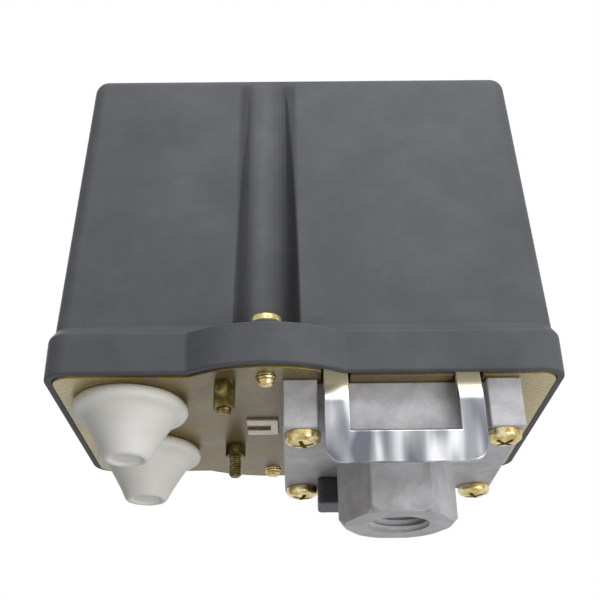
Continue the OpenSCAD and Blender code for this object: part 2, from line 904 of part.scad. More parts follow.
module unloader_yoke() {
  upper_y = yoke_y + yoke_step;
  inner = yoke_w / 2 - yoke_leg;
  color("lightsteelblue")
    difference() {
      union() {
        // Lower U with round outer corners
        translate([0, yoke_y, 0])
          rotate([90, 0, 0])
            linear_extrude(yoke_t)
              difference() {
                translate([0, (joggle_z + yoke_bar_z) / 2 + 3])
                  polygon(rounded(yoke_w, joggle_z - yoke_bar_z + 6, 3.5, 6));
                translate([-yoke_w, joggle_z])
                  square([2 * yoke_w, 20]);
                translate([-inner, yoke_bar_z + yoke_bar])
                  square([2 * inner, 20]);
              }
        for (sx = [-1, 1])
          translate([sx * (yoke_w - yoke_leg) / 2, 0, 0]) {
            yoke_joggle(upper_y);
            slab([-yoke_leg / 2, upper_y - yoke_t, joggle_top],
              [yoke_leg / 2, upper_y, yoke_pivot[1] + 1.5]);
            slab([sx * (yoke_leg - yoke_t) / 2 - yoke_t / 2, upper_y - yoke_t, yoke_pivot[1] - 2],
              [sx * (yoke_leg - yoke_t) / 2 + yoke_t / 2, yoke_pivot[0], yoke_pivot[1] + 1.5]);
            translate([sx * (yoke_leg - yoke_t) / 2 - yoke_t / 2, yoke_pivot[0], yoke_pivot[1]])
              rotate([0, 90, 0])
                cylinder(r = lug_r, h = yoke_t);
          }
      }
      translate([-yoke_w, yoke_pivot[0], yoke_pivot[1]])
        rotate([0, 90, 0])
          cylinder(d = yoke_pin_d + 2 * pin_gap, h = 2 * yoke_w);
    }
}

// Sloping length of sheet between the lower U and an upper leg
module yoke_joggle(upper_y) {
  translate([-yoke_leg / 2, 0, 0])
    rotate([90, 0, 90])
      linear_extrude(yoke_leg)
        polygon([[yoke_y, joggle_z - 0.01], [yoke_y - yoke_t, joggle_z - 0.01],
          [upper_y - yoke_t, joggle_top + 0.01], [upper_y, joggle_top + 0.01]]);
}

module yoke_pin() {
  color("lightgray")
    translate([-ear_x - 1.2, yoke_pivot[0], yoke_pivot[1]])
      rotate([0, 90, 0])
        cylinder(d = yoke_pin_d, h = 2 * ear_x + 2.4);
}

cover();
cover_screws();
base_plate();
cable_grommet_front();
cable_grommet_rear();
pressure_housing();
housing_screws();
side_port_plug();
diaphragm();
plunger();
mechanism_frame();
spring_bridge();
bridge_screws();
main_lever();
lever_pin();
pin_clips();
range_spring();
range_nut();
range_screw();
differential_spring();
differential_nut();
differential_screw();
contact_carrier();
carrier_pin();
contact_bridges();
contact_springs();
snap_spring();
contact_block();
line_contacts();
load_contacts();
terminal_screws();
clamp_washers();
block_screws();
block_nuts();
earth_screw();
earth_clamp();
unloader_yoke();
yoke_pin();
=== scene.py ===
"""Looks of a compressor pressure switch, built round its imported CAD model.

Lengths are in millimetres in every helper; a finished mesh is scaled to metres once, in place().
"""

import json
from math import cos, pi, radians, sin, tan, tau

import bmesh
import bpy
from mathutils import Matrix, Vector


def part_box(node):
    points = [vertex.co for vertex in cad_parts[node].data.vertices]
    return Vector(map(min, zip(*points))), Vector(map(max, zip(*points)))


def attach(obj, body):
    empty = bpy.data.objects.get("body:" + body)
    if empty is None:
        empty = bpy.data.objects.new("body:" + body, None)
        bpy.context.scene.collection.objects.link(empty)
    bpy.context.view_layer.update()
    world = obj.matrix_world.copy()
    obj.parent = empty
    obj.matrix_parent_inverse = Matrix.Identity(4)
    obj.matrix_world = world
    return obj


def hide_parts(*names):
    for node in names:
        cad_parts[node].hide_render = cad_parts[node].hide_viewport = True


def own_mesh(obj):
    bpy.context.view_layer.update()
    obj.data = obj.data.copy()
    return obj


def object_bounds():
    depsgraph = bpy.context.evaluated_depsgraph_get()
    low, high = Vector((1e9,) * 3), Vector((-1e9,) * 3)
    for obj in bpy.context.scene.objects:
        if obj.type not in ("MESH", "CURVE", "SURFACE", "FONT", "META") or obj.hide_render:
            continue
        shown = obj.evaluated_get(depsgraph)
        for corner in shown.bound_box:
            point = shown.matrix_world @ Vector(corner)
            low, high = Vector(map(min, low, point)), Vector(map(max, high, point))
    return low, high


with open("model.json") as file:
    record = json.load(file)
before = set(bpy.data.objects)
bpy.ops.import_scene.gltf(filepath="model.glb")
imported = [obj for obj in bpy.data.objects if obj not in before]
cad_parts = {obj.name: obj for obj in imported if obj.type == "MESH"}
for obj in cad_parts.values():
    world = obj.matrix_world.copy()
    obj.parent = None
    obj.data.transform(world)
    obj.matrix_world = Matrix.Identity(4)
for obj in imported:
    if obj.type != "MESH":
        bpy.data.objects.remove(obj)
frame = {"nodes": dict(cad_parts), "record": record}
cad_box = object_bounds()
MM = 0.001
PLATE = 1.5
PLATE_MIDDLE_X = -18
PLATE_UNDERSIDE = 23.9
CHANNEL_X = -27.3  # the axis of the cover's two screw channels
COVER_ROUNDING = 103  # the height from which the cover's top is rounded in the CAD
M4, M3 = 4, 3
PAN_RADIUS, PAN_HEIGHT, PAN_RIM = 0.9, 0.6, 0.28  # of a screw's head, as shares of its diameter


# ---------------------------------------------------------------- materials

def linear(hex_colour):
    """An sRGB hex colour as the linear colour that a shader socket takes."""
    parts = [int(hex_colour[i:i + 2], 16) / 255 for i in (1, 3, 5)]
    light = (p / 12.92 if p <= 0.04045 else ((p + 0.055) / 1.055) ** 2.4 for p in parts)
    return (*light, 1.0)


def add(tree, kind, settings=None, **inputs):
    """Adds a shader node.

    settings are its properties, with "stops" for a colour ramp's (position, colour) pairs. inputs feed
    its sockets by name, or as i0, i1 by number, with a value, a hex colour or another node's output.
    """
    node = tree.nodes.new("ShaderNode" + kind)
    for name, value in (settings or {}).items():
        if name != "stops":
            setattr(node, name, value)
            continue
        keys = node.color_ramp.elements
        while len(keys) < len(value):
            keys.new(0.5)
        for key, (position, colour) in zip(keys, value):
            key.position, key.color = position, linear(colour)
    for name, value in inputs.items():
        by_number = name[0] == "i" and name[1:].isdigit()
        socket = node.inputs[int(name[1:]) if by_number else name.replace("_", " ")]
        if isinstance(value, bpy.types.NodeSocket):
            tree.links.new(value, socket)
        else:
            socket.default_value = linear(value) if isinstance(value, str) else value
    return node


def material(name):
    """A new material's tree, and its Object coordinates in millimetres."""
    made = bpy.data.materials.new(name)
    made.use_nodes = True
    made.node_tree.nodes.clear()
    where = add(made.node_tree, "TexCoord").outputs["Object"]
    in_mm = add(made.node_tree, "VectorMath", {"operation": "SCALE"}, Vector=where, Scale=1 / MM)
    return made, made.node_tree, in_mm.outputs[0]


def surface(tree, colour, height, depth, **sockets):
    """Closes a tree with a Principled shader: its colour, and a relief that is depth millimetres deep."""
    relief = add(tree, "Bump", Height=height, Distance=depth * MM)
    shader = add(tree, "BsdfPrincipled", Base_Color=colour, Normal=relief.outputs[0], **sockets)
    add(tree, "OutputMaterial", Surface=shader.outputs[0])


def moulded_abs():
    made, tree, where = material("moulded_abs")
    # ABS from a spark-eroded tool: an even satin grey with faint rubbed patches and a few pale scuffs
    patch = add(tree, "TexNoise", Vector=where, Scale=1 / 16, Detail=7.0, Roughness=0.68)
    tone = add(tree, "ValToRGB", {"stops": [(0.3, "#484A4D"), (0.5, "#505155"), (0.7, "#58595D")]},
               Fac=patch.outputs[0])
    scuff = add(tree, "TexNoise", Vector=where, Scale=1 / 5, Detail=6.0, Roughness=0.7)
    pale = add(tree, "ValToRGB", {"stops": [(0.7, "#000000"), (0.78, "#FFFFFF")]}, Fac=scuff.outputs[0])
    colour = add(tree, "Mix", {"data_type": "RGBA"}, i0=pale.outputs[0], i6=tone.outputs[0], i7="#5C5D61")
    # The steep walls of the two screw channels are painted darker, because soft light reaches in too evenly
    apart = add(tree, "SeparateXYZ", Vector=where)
    from_axis = add(tree, "Math", {"operation": "ADD"}, i0=apart.outputs[0], i1=-CHANNEL_X)
    off_axis = add(tree, "Math", {"operation": "ABSOLUTE"}, i0=from_axis.outputs[0])
    # The ramp spans 10 mm from the axis, and the paint runs from the ledge's height up to the rounded top
    span = add(tree, "Math", {"operation": "MULTIPLY"}, i0=off_axis.outputs[0], i1=1 / 10)
    wall = add(tree, "ValToRGB", {"stops": [(0.1, "#FFFFFF"), (0.28, "#EAEAEA"), (0.42, "#B4B4B4"),
                                            (0.6, "#B0B0B0"), (0.72, "#FFFFFF")]}, Fac=span.outputs[0])
    above = add(tree, "MapRange", {"interpolation_type": "SMOOTHSTEP"}, i0=apart.outputs[2],
                i1=35.0, i2=38.0)
    below = add(tree, "MapRange", {"interpolation_type": "SMOOTHSTEP"}, i0=apart.outputs[2],
                i1=COVER_ROUNDING + 3.5, i2=float(COVER_ROUNDING))
    tall = add(tree, "Math", {"operation": "MULTIPLY"}, i0=above.outputs[0], i1=below.outputs[0])
    colour = add(tree, "Mix", {"data_type": "RGBA", "blend_type": "MULTIPLY"}, i0=tall.outputs[0],
                 i6=colour.outputs[2], i7=wall.outputs[0])
    # The real grain is about 0.1 mm wide; it is drawn at 0.4 mm so that it shows
    grain = add(tree, "TexNoise", Vector=where, Scale=1 / 0.4, Detail=2.0, Roughness=0.6)
    surface(tree, colour.outputs[2], grain.outputs[0], 0.03, Roughness=0.62, IOR=1.53,
            Specular_IOR_Level=0.2)
    return made


def yellow_chromate_sheet():
    made, tree, where = material("yellow_zinc_chromate_sheet")
    # Rolled sheet, zinc plated and dipped in yellow chromate: olive and straw clouds, pink and grey between
    cloud = add(tree, "TexNoise", Vector=where, Scale=1 / 17, Detail=3.0, Roughness=0.55, Distortion=0.6)
    tint = add(tree, "ValToRGB", {"stops": [(0.32, "#6A5B25"), (0.42, "#796B38"), (0.5, "#74614A"),
                                            (0.58, "#776E4C"), (0.68, "#8D7D3A")]}, Fac=cloud.outputs[0])
    # The plate's two ends are painted paler: a painted reflection, as the ends mirror brighter surroundings
    # than the middle
    apart = add(tree, "SeparateXYZ", Vector=where)
    from_middle = add(tree, "Math", {"operation": "ADD"}, i0=apart.outputs[0], i1=-PLATE_MIDDLE_X)
    off_middle = add(tree, "Math", {"operation": "ABSOLUTE"}, i0=from_middle.outputs[0])
    ends = add(tree, "MapRange", {"interpolation_type": "SMOOTHSTEP"}, i0=off_middle.outputs[0],
               i1=34.0, i2=54.0)
    painted_light_tint = add(tree, "Mix", {"data_type": "RGBA"}, i0=ends.outputs[0], i6=tint.outputs[0], i7="#BFB285")
    # Whatever lies below the sheet, which is the lanced fork, is painted paler still, as a painted
    # highlight
    pressed = add(tree, "MapRange", i0=apart.outputs[2], i1=PLATE_UNDERSIDE, i2=PLATE_UNDERSIDE - 0.3)
    painted_light_tint = add(tree, "Mix", {"data_type": "RGBA"}, i0=pressed.outputs[0], i6=painted_light_tint.outputs[2],
               i7="#D8D0BE")
    speck = add(tree, "TexNoise", Vector=where, Scale=1 / 0.8, Detail=4.0, Roughness=0.6)
    dulled = add(tree, "ValToRGB", {"stops": [(0.3, "#C4BFB2"), (0.6, "#FFFFFF")]}, Fac=speck.outputs[0])
    colour = add(tree, "Mix", {"data_type": "RGBA", "blend_type": "MULTIPLY"}, i0=0.7, i6=painted_light_tint.outputs[2],
                 i7=dulled.outputs[0])
    # Rolling marks about 0.6 mm apart, along the strip
    along = add(tree, "Mapping", Vector=where, Scale=(0.12, 1.0, 1.0))
    rolled = add(tree, "TexNoise", Vector=along.outputs[0], Scale=1 / 0.6, Detail=2.0)
    surface(tree, colour.outputs[2], rolled.outputs[0], 0.008, Metallic=0.4, Roughness=0.36)
    return made


def yellow_chromate_screws():
    made, tree, where = material("yellow_zinc_chromate_screws")
    # Cold-headed and barrel plated: glossy straw, worn paler on the high spots, with brown in the hollows
    patch = add(tree, "TexNoise", Vector=where, Scale=1 / 1.8, Detail=3.0, Roughness=0.6)
    tint = add(tree, "ValToRGB", {"stops": [(0.3, "#8F7C42"), (0.48, "#C2AE72"), (0.66, "#E3D9B4")]},
               Fac=patch.outputs[0])
    dents = add(tree, "TexNoise", Vector=where, Scale=1 / 0.5, Detail=2.0)
    surface(tree, tint.outputs[0], dents.outputs[0], 0.03, Metallic=0.9, Roughness=0.28)
    return made


def olive_chromate_studs():
    made, tree, where = material("olive_zinc_chromate_studs")
    # Rolled threads that hold a thick film: dark olive brown, with a glint on the crests
    patch = add(tree, "TexNoise", Vector=where, Scale=1 / 1.6, Detail=3.0)
    tint = add(tree, "ValToRGB", {"stops": [(0.35, "#3F3614"), (0.55, "#64582B"), (0.75, "#A09158")]},
               Fac=patch.outputs[0])
    dents = add(tree, "TexNoise", Vector=where, Scale=1 / 0.5, Detail=2.0)
    surface(tree, tint.outputs[0], dents.outputs[0], 0.02, Metallic=0.75, Roughness=0.36)
    return made


def white_rubber():
    made, tree, where = material("moulded_white_rubber")
    # Soft white rubber from a plain mould: dull and faintly see-through, yellowed in patches by handling
    patch = add(tree, "TexNoise", Vector=where, Scale=1 / 7, Detail=3.0)
    tint = add(tree, "ValToRGB", {"stops": [(0.3, "#E8E6DE"), (0.7, "#F0EFEB")]}, Fac=patch.outputs[0])
    skin = add(tree, "TexNoise", Vector=where, Scale=1 / 0.5, Detail=2.0)
    surface(tree, tint.outputs[0], skin.outputs[0], 0.015, Roughness=0.6, Subsurface_Weight=0.12,
            Subsurface_Scale=0.002, Specular_IOR_Level=0.3)
    return made


def die_cast_aluminium():
    made, tree, where = material("die_cast_aluminium")
    # Cast in a steel die and tumbled: light grey with flow marks, and a fine pitted skin
    flow = add(tree, "TexNoise", Vector=where, Scale=1 / 6, Detail=7.0, Roughness=0.66, Distortion=0.4)
    tint = add(tree, "ValToRGB", {"stops": [(0.3, "#9C9A9B"), (0.5, "#AFAEB0"), (0.7, "#C3C2C5")]},
               Fac=flow.outputs[0])
    pits = add(tree, "TexNoise", Vector=where, Scale=1 / 0.5, Detail=4.0, Roughness=0.65)
    surface(tree, tint.outputs[0], pits.outputs[0], 0.07, Metallic=0.12, Roughness=0.5)
    return made


def bright_zinc_sheet():
    made, tree, where = material("bright_zinc_sheet")
    # Stamped strip in bright zinc: nearly a mirror, with grey clouds in streaks across the strip
    across = add(tree, "Mapping", Vector=where, Scale=(1.0, 1.0, 0.25))
    cloud = add(tree, "TexNoise", Vector=across.outputs[0], Scale=1 / 5, Detail=1.5, Distortion=0.2)
    tint = add(tree, "ValToRGB", {"stops": [(0.38, "#70727A"), (0.5, "#A6A8AD"), (0.6, "#ECEDEF")]},
               Fac=cloud.outputs[0])
    # Above the bend the legs are painted straw with less metal, a painted reflection of the yellow plate
    # above them
    apart = add(tree, "SeparateXYZ", Vector=where)
    high = add(tree, "MapRange", {"interpolation_type": "SMOOTHSTEP"}, i0=apart.outputs[2],
               i1=19.0, i2=23.0)
    painted_plate_reflection = add(tree, "Mix", {"data_type": "RGBA"}, i0=high.outputs[0], i6=tint.outputs[0], i7="#DDD5B4")
    mirror = add(tree, "MapRange", i0=high.outputs[0], i3=1.0, i4=0.15)
    wave = add(tree, "TexNoise", Vector=across.outputs[0], Scale=1 / 5, Detail=1.0)
    surface(tree, painted_plate_reflection.outputs[2], wave.outputs[0], 0.12, Metallic=mirror.outputs[0], Roughness=0.26)
    return made


def bright_zinc_steel():
    made, tree, where = material("bright_zinc_steel")
    # Turned and stamped steel in bright zinc: pale, with soft clouds
    cloud = add(tree, "TexNoise", Vector=where, Scale=1 / 3, Detail=3.0)
    tint = add(tree, "ValToRGB", {"stops": [(0.3, "#9FA0A4"), (0.7, "#C8C9CC")]}, Fac=cloud.outputs[0])
    lines = add(tree, "TexNoise", Vector=where, Scale=1 / 0.4, Detail=2.0)
    surface(tree, tint.outputs[0], lines.outputs[0], 0.008, Metallic=1.0, Roughness=0.3)
    return made


def drawn_spring_wire():
    made, tree, where = material("drawn_spring_wire")
    # Patented wire, drawn and oiled: dark grey with a soft shine
    cloud = add(tree, "TexNoise", Vector=where, Scale=1 / 1.5, Detail=3.0)
    tint = add(tree, "ValToRGB", {"stops": [(0.3, "#606165"), (0.7, "#8B8C91")]}, Fac=cloud.outputs[0])
    lines = add(tree, "TexNoise", Vector=where, Scale=1 / 0.3, Detail=2.0)
    surface(tree, tint.outputs[0], lines.outputs[0], 0.006, Metallic=1.0, Roughness=0.34)
    return made


def moulded_black(name):
    made, tree, where = material(name)
    # Filled black plastic: matt, with short pale streaks where fibres lie at the skin
    lengthwise = add(tree, "Mapping", Vector=where, Scale=(1.0, 0.3, 1.0))
    fibres = add(tree, "TexNoise", Vector=lengthwise.outputs[0], Scale=1 / 0.8, Detail=3.0)
    tint = add(tree, "ValToRGB", {"stops": [(0.4, "#2D2B2F"), (0.78, "#434146")]}, Fac=fibres.outputs[0])
    surface(tree, tint.outputs[0], fibres.outputs[0], 0.015, Roughness=0.55, IOR=1.53)
    return made


def brown_phenolic():
    made, tree, where = material("moulded_brown_phenolic")
    # Compression-moulded phenolic: dark brown, with flecks of wood flour and a half gloss
    flecks = add(tree, "TexNoise", Vector=where, Scale=1 / 0.7, Detail=4.0)
    tint = add(tree, "ValToRGB", {"stops": [(0.35, "#3A2417"), (0.6, "#4B3020"), (0.8, "#6A4A34")]},
               Fac=flecks.outputs[0])
    surface(tree, tint.outputs[0], flecks.outputs[0], 0.01, Roughness=0.4, IOR=1.6)
    return made


def nitrile_on_cloth():
    made, tree, where = material("nitrile_rubber_on_cloth")
    # Calendered onto cloth, whose weave of about 0.5 mm prints through the dull black
    weave = add(tree, "TexChecker", Vector=where, Scale=2.0)
    bloom = add(tree, "TexNoise", Vector=where, Scale=1 / 3, Detail=3.0)
    tint = add(tree, "ValToRGB", {"stops": [(0.3, "#1C1C1D"), (0.7, "#29292A")]}, Fac=bloom.outputs[0])
    surface(tree, tint.outputs[0], weave.outputs[1], 0.02, Roughness=0.7)
    return made


def stamped_brass():
    made, tree, where = material("stamped_brass")
    # Stamped strip, a little tarnished towards brown
    tarnish = add(tree, "TexNoise", Vector=where, Scale=1 / 3, Detail=4.0)
    tint = add(tree, "ValToRGB", {"stops": [(0.3, "#9C7B3D"), (0.7, "#CDAA62")]}, Fac=tarnish.outputs[0])
    lines = add(tree, "TexNoise", Vector=where, Scale=1 / 0.6, Detail=2.0)
    surface(tree, tint.outputs[0], lines.outputs[0], 0.008, Metallic=1.0, Roughness=0.32)
    return made


def turned_aluminium():
    made, tree, where = material("turned_aluminium")
    # Faced on a lathe: the tool's rings, drawn 0.8 mm apart so that they show, round the port's own axis
    rings = add(tree, "TexWave", {"wave_type": "RINGS", "rings_direction": "Z"}, Vector=where, Scale=0.4)
    cloud = add(tree, "TexNoise", Vector=where, Scale=1 / 4, Detail=3.0)
    tint = add(tree, "ValToRGB", {"stops": [(0.3, "#AEB0B3"), (0.7, "#CFD0D3")]}, Fac=cloud.outputs[0])
    surface(tree, tint.outputs[0], rings.outputs[1], 0.01, Metallic=1.0, Roughness=0.35)
    return made


MATERIALS = {
    "cover_plastic": moulded_abs(),
    "yellow_zinc_plate": yellow_chromate_sheet(),
    "yellow_zinc_screws": yellow_chromate_screws(),
    "olive_zinc_studs": olive_chromate_studs(),
    "grommet_rubber": white_rubber(),
    "cast_aluminium": die_cast_aluminium(),
    "turned_aluminium": turned_aluminium(),
    "black_plastic": moulded_black("moulded_black_nylon"),
    "diaphragm_rubber": nitrile_on_cloth(),
    "bright_steel": bright_zinc_steel(),
    "bright_plated_steel": bright_zinc_sheet(),
    "spring_steel": drawn_spring_wire(),
    "brown_phenolic": brown_phenolic(),
    "black_phenolic": moulded_black("moulded_black_phenolic"),
    "contact_brass": stamped_brass(),
}
SLOT_OF = {s["node"]: s["material_slot"] for s in frame["record"]["subparts"]}
BODY_OF = {node: body for body, nodes in frame["record"]["behaviour"]["bodies"].items() for node in nodes}


# ---------------------------------------------------------------- mesh helpers

def corners(node):
    """Lowest and highest corner of a CAD node, in millimetres."""
    low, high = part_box(node)
    return Vector(low) / MM, Vector(high) / MM


def soften(bm, width, sharp=28, segments=2, chosen=lambda edge: True):
    """Rounds each chosen edge whose faces meet at more than an angle."""
    edges = [e for e in bm.edges
             if len(e.link_faces) == 2 and e.calc_face_angle() > radians(sharp) and chosen(e)]
    bmesh.ops.bevel(bm, geom=edges, offset=width, offset_type="OFFSET", segments=segments, profile=0.5,
                    affect="EDGES", material=-1, clamp_overlap=False)


def place(name, bm, node, smooth=35):
    """Makes a piece of a millimetre bmesh, which takes the body and the finish of a CAD node."""
    bmesh.ops.scale(bm, vec=(MM, MM, MM), verts=bm.verts)
    mesh = bpy.data.meshes.new(name)
    bm.to_mesh(mesh)
    bm.free()
    mesh.shade_smooth()
    mesh.set_sharp_from_angle(angle=radians(smooth))
    mesh.materials.append(MATERIALS[SLOT_OF[node]])
    piece = bpy.data.objects.new(name, mesh)
    bpy.context.scene.collection.objects.link(piece)
    even = piece.modifiers.new("even_shading", "WEIGHTED_NORMAL")
    even.keep_sharp = True
    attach(piece, BODY_OF[node])
    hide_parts(node)
    return piece


def cad_copy(node, merge=0.001):
    """A CAD node's faces as a bmesh in millimetres, with its triangles joined into flat faces."""
    bm = bmesh.new()
    bm.from_mesh(frame["nodes"][node].data)
    bmesh.ops.scale(bm, vec=(1 / MM, 1 / MM, 1 / MM), verts=bm.verts)
    bmesh.ops.remove_doubles(bm, verts=bm.verts, dist=merge)
    bmesh.ops.dissolve_limit(bm, angle_limit=radians(0.5), verts=bm.verts, edges=bm.edges)
    return bm


def face_outwards(bm, old):
    """Makes the faces that came after the vertices in old look outwards."""
    faces = dict.fromkeys(f for v in bm.verts if v not in old for f in v.link_faces)
    bmesh.ops.recalc_face_normals(bm, faces=list(faces))


def turn(bm, profile, steps=48):
    """Spins (radius, height) points round the Z axis into a closed skin."""
    old = set(bm.verts)
    ring = [bm.verts.new((r, 0, z)) for r, z in profile]
    line = [bm.edges.new(pair) for pair in zip(ring, ring[1:])]
    bmesh.ops.spin(bm, geom=ring + line, cent=(0, 0, 0), axis=(0, 0, 1), angle=tau, steps=steps,
                   use_merge=True)
    bmesh.ops.remove_doubles(bm, verts=[v for v in bm.verts if v not in old], dist=0.0005)
    face_outwards(bm, old)


def helix(bm, outline, lead, turns, steps=24):
    """Winds a closed outline of (radius, height) points up the Z axis, and caps both ends."""
    old = set(bm.verts)
    ring = [bm.verts.new((r, 0, z)) for r, z in outline]
    line = [bm.edges.new((ring[i - 1], ring[i])) for i in range(len(ring))]
    bmesh.ops.spin(bm, geom=ring + line, cent=(0, 0, 0), axis=(0, 0, 1), angle=tau * turns,
                   steps=round(turns * steps), dvec=(0, 0, lead / steps), use_merge=False)
    open_edges = dict.fromkeys(e for v in bm.verts if v not in old for e in v.link_edges if e.is_boundary)
    bmesh.ops.holes_fill(bm, edges=list(open_edges), sides=len(ring))
    face_outwards(bm, old)


def carve(bm, cutter):
    """Cuts one closed bmesh out of another and gives the result as a new bmesh."""
    pair = []
    for shape in (bm, cutter):
        mesh = bpy.data.meshes.new("carving")
        shape.to_mesh(mesh)
        shape.free()
        pair.append(bpy.data.objects.new("carving", mesh))
        bpy.context.scene.collection.objects.link(pair[-1])
    cut = pair[0].modifiers.new("cut", "BOOLEAN")
    cut.operation = "DIFFERENCE"
    cut.solver = "EXACT"
    cut.object = pair[1]
    bpy.context.view_layer.update()
    result = bmesh.new()
    result.from_object(pair[0], bpy.context.evaluated_depsgraph_get())
    for temporary in pair:
        bpy.data.objects.remove(temporary)
    return result


def thread(bm, radius, pitch, low, high, depth):
    """A V-shaped ridge that winds round the Z axis from low to high. A negative depth points inwards."""
    half = pitch * 0.44
    outline = [(radius, low), (radius + depth, low + half), (radius, low + 2 * half)]
    helix(bm, outline, pitch, max((high - low) / pitch - 1, 0.5))


def screw(d, length):
    """A pan-head screw with a crossed recess, its head above the XY plane and its threaded shank below."""
    head_r = d * PAN_RADIUS
    dome = [(head_r * sin(radians(a)), d * (PAN_RIM + (PAN_HEIGHT - PAN_RIM) * cos(radians(a))))
            for a in range(0, 91, 15)]
    edge = 0.04 * d
    bm = bmesh.new()
    turn(bm, dome + [(head_r, edge), (head_r - edge, 0), (0, 0)], 40)
    slot, across, deep = 0.22 * d, 1.1 * d, 0.7 * d
    for arm in ((slot, across, deep), (across, slot, deep)):
        cutter = bmesh.new()
        bmesh.ops.create_cube(cutter, size=1)
        bmesh.ops.scale(cutter, vec=arm, verts=cutter.verts)
        bmesh.ops.translate(cutter, vec=(0, 0, slot + deep / 2), verts=cutter.verts)
        bm = carve(bm, cutter)
    core, sunk = d / 2 * 0.9, 0.02
    point = core - 0.12 * d
    turn(bm, [(0, sunk), (core, sunk), (core, 0.15 * d - length), (point, -length), (0, -length)], 24)
    thread(bm, core - sunk, d * 0.18, -length + 0.1 * d, -0.1 * d, d / 2 - core + sunk)
    return bm


def append(out, bm, *matrices):
    """Adds copies of a bmesh to another, one at each placement, and frees it."""
    shape = bpy.data.meshes.new("shape")
    bm.to_mesh(shape)
    bm.free()
    for matrix in matrices:
        before = len(out.verts)
        out.from_mesh(shape)
        out.verts.ensure_lookup_table()
        bmesh.ops.transform(out, matrix=matrix, verts=out.verts[before:])
    bpy.data.meshes.remove(shape)
    return out


DOWN = Matrix.Rotation(pi, 4, "X")


def at(x, y, z, turned=None, spin=0):
    """A placement in millimetres, turned first where a turn is given."""
    matrix = Matrix.Translation((x, y, z)) @ (turned or Matrix.Identity(4))
    return matrix @ Matrix.Rotation(radians(spin), 4, "Z")


def dressed(node, width, sharp=28, segments=2):
    """A CAD node's own shape, with its edges rounded as the real process leaves them."""
    bm = cad_copy(node)
    soften(bm, width, sharp, segments)
    place(node + "_finished", bm, node)


# ---------------------------------------------------------------- pieces seen from outside

def cover():
    """The moulding, with its edges rounded below the top, which the CAD has rounded already."""
    bm = cad_copy("cover")
    soften(bm, 0.45, 26, 3, lambda edge: max(v.co.z for v in edge.verts) < COVER_ROUNDING)
    place("cover_shell", bm, "cover")


def cover_screws():
    """The two captive screws, each turned to where it happened to stop."""
    low, high = corners("cover_screws")
    radius = M4 * PAN_RADIUS
    seat = high.z - M4 * PAN_HEIGHT
    spots = [at(low.x + radius, y, seat, spin=turned)
             for y, turned in ((low.y + radius, 20), (high.y - radius, 65))]
    place("cover_screw_pair", append(bmesh.new(), screw(M4, seat - low.z), *spots), "cover_screws")


def housing_screws():
    """Four screws whose heads hang under the casting's posts."""
    low, high = corners("housing_screws")
    radius = M4 * PAN_RADIUS
    seat = low.z + M4 * PAN_HEIGHT
    left, right, front, rear = low.x + radius, high.x - radius, low.y + radius, high.y - radius
    spots = [at(x, y, seat, DOWN, turned)
             for x, y, turned in ((left, front, 15), (right, front, 50),
                                  (left, rear, 75), (right, rear, 30))]
    place("housing_screw_set", append(bmesh.new(), screw(M4, high.z - seat), *spots), "housing_screws")


def grommets():
    """A thin closed tip, a cone, a flange with a rolled edge and a lip that grips the plate from above."""
    for side in ("front", "rear"):
        node = "cable_grommet_" + side
        low, high = corners(node)
        length = corners("contact_block")[0].z - PLATE - low.z
        over = length + PLATE
        rim = (high.x - low.x) / 2
        tip = [(0, 0.7), (3.1, 0.7), (3.5, 0.45), (3.7, 0.05), (4.1, 0), (4.6, 0.12), (5.0, 0.6)]
        cone = [(6.2, 3.0), (7.7, 5.6), (9.2, 8.0), (9.9, 8.9), (10.6, 9.3)]
        flange = [(rim - 1.0, 9.6), (rim - 0.3, 10.0), (rim, 10.6), (rim - 0.1, 11.4),
                  (rim - 0.7, length - 0.2), (rim - 1.6, length), (8.9, length)]
        lip = [(8.9, over), (11.0, over), (10.8, over + 1.1), (10.2, over + 1.6), (8.0, over + 2.0)]
        inside = [(7.6, over + 1.7), (3.7, 1.9), (0, 1.8)]
        bm = bmesh.new()
        turn(bm, tip + cone + flange + lip + inside, 64)
        bmesh.ops.translate(bm, vec=((low.x + high.x) / 2, (low.y + high.y) / 2, low.z), verts=bm.verts)
        place(node + "_rubber", bm, node, smooth=60)


def housing():
    """The casting, with its bore opened to the thread's root and the thread wound back in."""
    bm = cad_copy("pressure_housing")
    # The hexagon's turned chamfer stays crisp, because its short edges would fold
    chamfer_top = 2.5
    soften(bm, 0.45, 28, 3, lambda edge: max(v.co.z for v in edge.verts) > chamfer_top)
    root, crest, pitch, depth = 6.5, 5.9, 1.337, 13
    bore = bmesh.new()
    turn(bore, [(0, -1), (root, -1), (root, depth), (0, depth)], 64)
    bm = carve(bm, bore)
    thread(bm, root + 0.05, pitch, 0.3, depth - 0.5, crest - root - 0.05)
    place("pressure_housing_casting", bm, "pressure_housing")


def yoke():
    """Strip that is bent over a rounded tool, with rumbled edges."""
    ledge = 0.03  # the CAD's mesh has one a little finer than this at the bend
    bm = cad_copy("unloader_yoke", ledge)
    bends = [e for e in bm.edges if abs((e.verts[0].co - e.verts[1].co).normalized().x) > 0.99
             and radians(15) < e.calc_face_angle() < radians(30)]
    bmesh.ops.bevel(bm, geom=bends, offset=0.9, offset_type="OFFSET", segments=5, profile=0.5,
                    affect="EDGES", material=-1, clamp_overlap=False)
    soften(bm, 0.25, 50, 3)
    place("unloader_yoke_strip", bm, "unloader_yoke")


